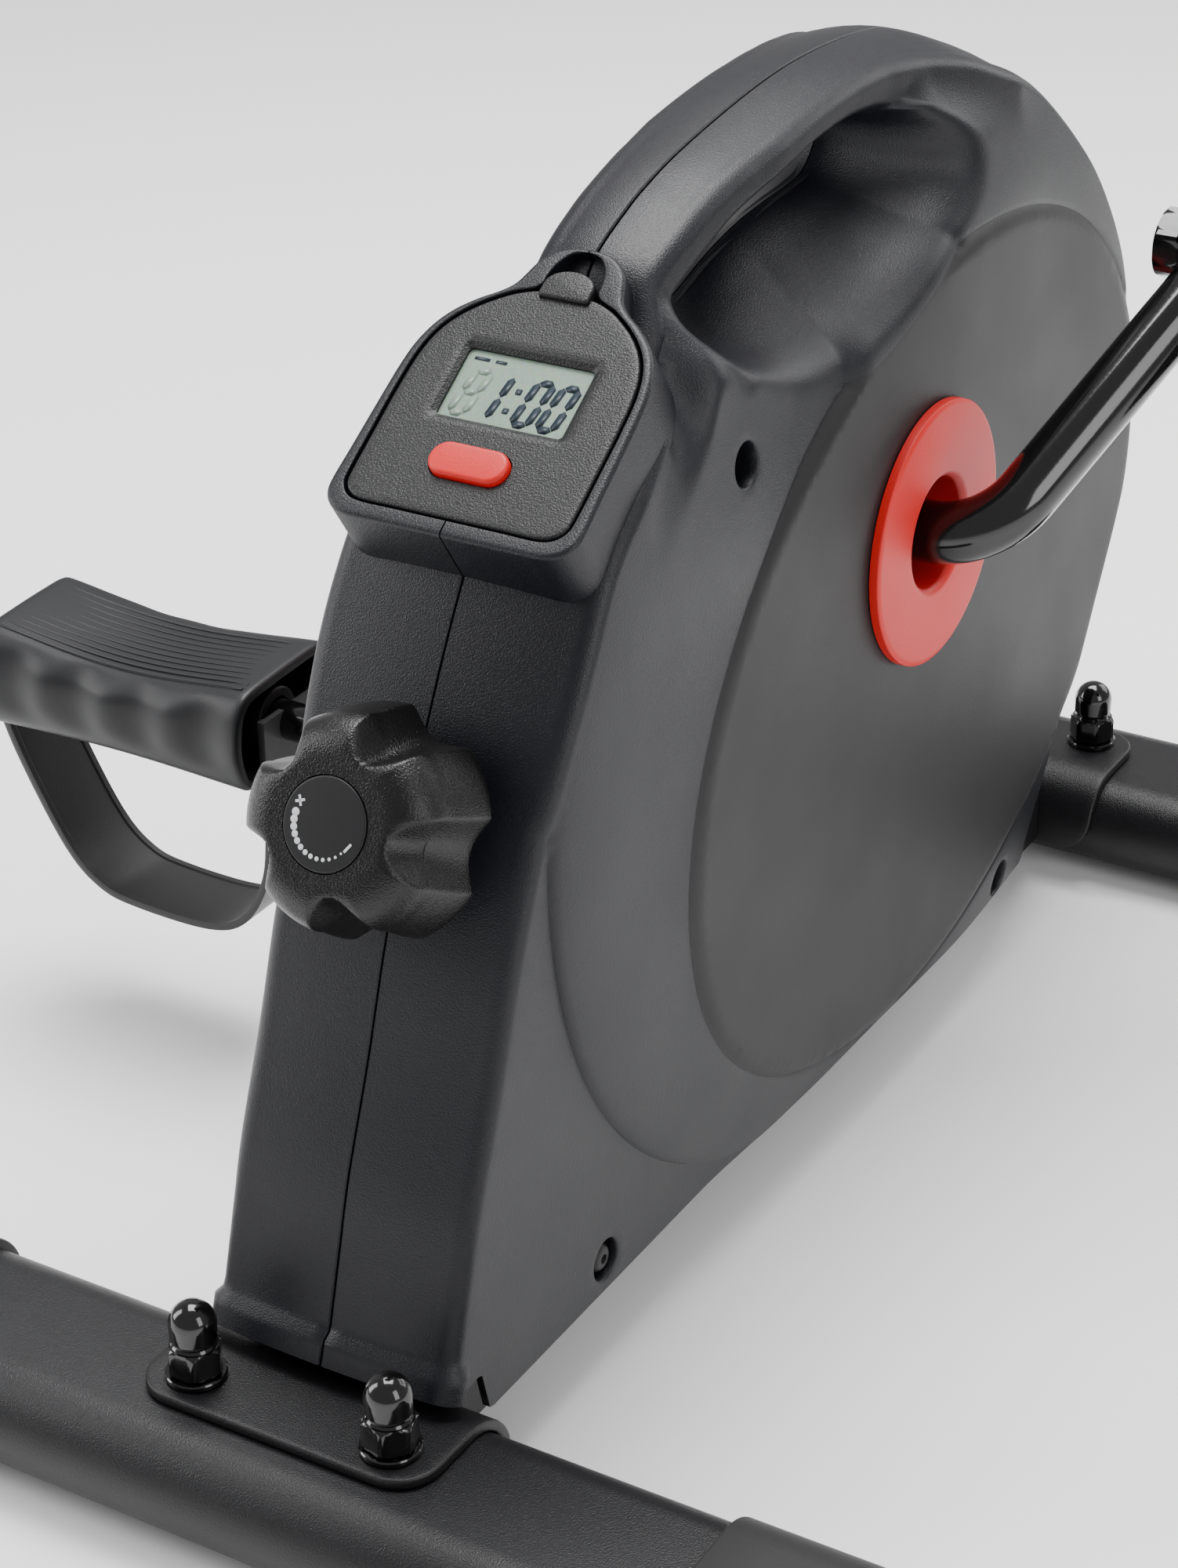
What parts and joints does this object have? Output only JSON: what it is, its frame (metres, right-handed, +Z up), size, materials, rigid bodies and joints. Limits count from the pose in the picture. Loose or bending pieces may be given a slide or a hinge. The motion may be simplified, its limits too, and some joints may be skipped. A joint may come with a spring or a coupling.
{
  "type": "pedal exerciser",
  "caption": "Compact floor pedal exerciser: slim moulded housing with a top carry handle, bent cranks with strapped pedals, brake knob, small console and two cross feet.",
  "frame": {"origin": "on the floor, midway between the two stabilizer feet", "axes": "+X to the right of the seated user's direction of view, -Y towards the console and knob side, +Z up"},
  "size_m": [0.4698, 0.497, 0.3132],
  "materials": {
    "housing": "fine grained moulded surface, dark charcoal",
    "red_trim": "satin bright red moulding",
    "powder_coat": "satin black powder coat",
    "gloss_steel": "gloss black plated steel",
    "cap_rubber": "matt black",
    "pedal_plastic": "satin dark grey",
    "strap_rubber": "satin dark grey",
    "bright_steel": "machined",
    "iron": "machined rim",
    "black_plastic": "grained, semi gloss",
    "label": "printed label",
    "belt_rubber": "matt",
    "display": "liquid crystal panel, grey green",
    "board": "green circuit board"
  },
  "bodies": {
    "root": {"left_shell": "housing", "right_shell": "housing", "left_hub_ring": "red_trim", "right_hub_ring": "red_trim", "left_support_plate": "powder_coat", "right_support_plate": "powder_coat", "base_beam": "powder_coat", "front_stabilizer": "powder_coat", "rear_stabilizer": "powder_coat", "front_bracket": "powder_coat", "rear_bracket": "powder_coat", "shell_screw_upper": "bright_steel", "shell_screw_front": "bright_steel", "shell_screw_rear": "bright_steel", "left_bearing": "bright_steel", "right_bearing": "bright_steel", "flywheel_axle": "bright_steel", "tension_cable": "bright_steel", "button_cell": "bright_steel", "speed_sensor": "black_plastic", "knob_bush": "black_plastic", "console_case": "black_plastic", "drive_belt": "belt_rubber", "display_panel": "display", "circuit_board": "board", "front_left_end_cap": "cap_rubber", "front_left_bolt": "bright_steel", "front_left_washer": "gloss_steel", "front_left_cap_nut": "gloss_steel", "front_right_end_cap": "cap_rubber", "front_right_bolt": "bright_steel", "front_right_washer": "gloss_steel", "front_right_cap_nut": "gloss_steel", "rear_left_end_cap": "cap_rubber", "rear_left_bolt": "bright_steel", "rear_left_washer": "gloss_steel", "rear_left_cap_nut": "gloss_steel", "rear_right_end_cap": "cap_rubber", "rear_right_bolt": "bright_steel", "rear_right_washer": "gloss_steel", "rear_right_cap_nut": "gloss_steel"},
    "crank": {"crank_axle": "bright_steel", "drive_pulley": "black_plastic", "left_crank_arm": "gloss_steel", "left_pedal_spindle": "bright_steel", "left_pedal_nut": "gloss_steel", "right_crank_arm": "gloss_steel", "right_pedal_spindle": "bright_steel", "right_pedal_nut": "gloss_steel"},
    "left_pedal": {"left_pedal": "pedal_plastic", "left_strap": "strap_rubber"},
    "right_pedal": {"right_pedal": "pedal_plastic", "right_strap": "strap_rubber"},
    "flywheel": {"flywheel": "iron", "flywheel_pulley": "bright_steel"},
    "magnet_carrier": {"magnet_carrier": "powder_coat"},
    "knob": {"resistance_knob": "black_plastic", "knob_cap": "label"},
    "console_button": {"console_button": "red_trim"}
  },
  "joints": [
    {"name": "crank_spin", "type": "hinge", "parent": "root", "child": "crank", "pos_m": [0, 0.05151, 0.1807], "axis": [1, 0, 0], "continuous": true},
    {"name": "left_pedal_spin", "type": "hinge", "parent": "crank", "child": "left_pedal", "pos_m": [-0.131, -0.02623, 0.11313], "axis": [1, 0, 0], "continuous": true},
    {"name": "right_pedal_spin", "type": "hinge", "parent": "crank", "child": "right_pedal", "pos_m": [0.131, 0.12924, 0.24827], "axis": [1, 0, 0], "continuous": true},
    {"name": "flywheel_spin", "type": "hinge", "parent": "root", "child": "flywheel", "pos_m": [0, -0.06594, 0.122], "axis": [1, 0, 0], "continuous": true},
    {"name": "knob_turn", "type": "hinge", "parent": "root", "child": "knob", "pos_m": [0, -0.15301, 0.1735], "axis": [0, -0.9063, 0.4226], "range_deg": [0, 270]},
    {"name": "magnet_swing", "type": "hinge", "parent": "root", "child": "magnet_carrier", "pos_m": [-0.011, -0.01397, 0.17397], "axis": [1, 0, 0], "range_deg": [-9, 0]},
    {"name": "button_press", "type": "slide", "parent": "root", "child": "console_button", "axis": [0, 0.5592, -0.829], "range_m": [0, 0.0015], "stiffness_N_per_m": 400, "springref_m": -0.0005}
  ],
  "couplings": [
    {"joint": "flywheel_spin", "follows": "crank_spin", "ratio": 4.1333},
    {"joint": "magnet_swing", "follows": "knob_turn", "ratio": -0.033333}
  ]
}
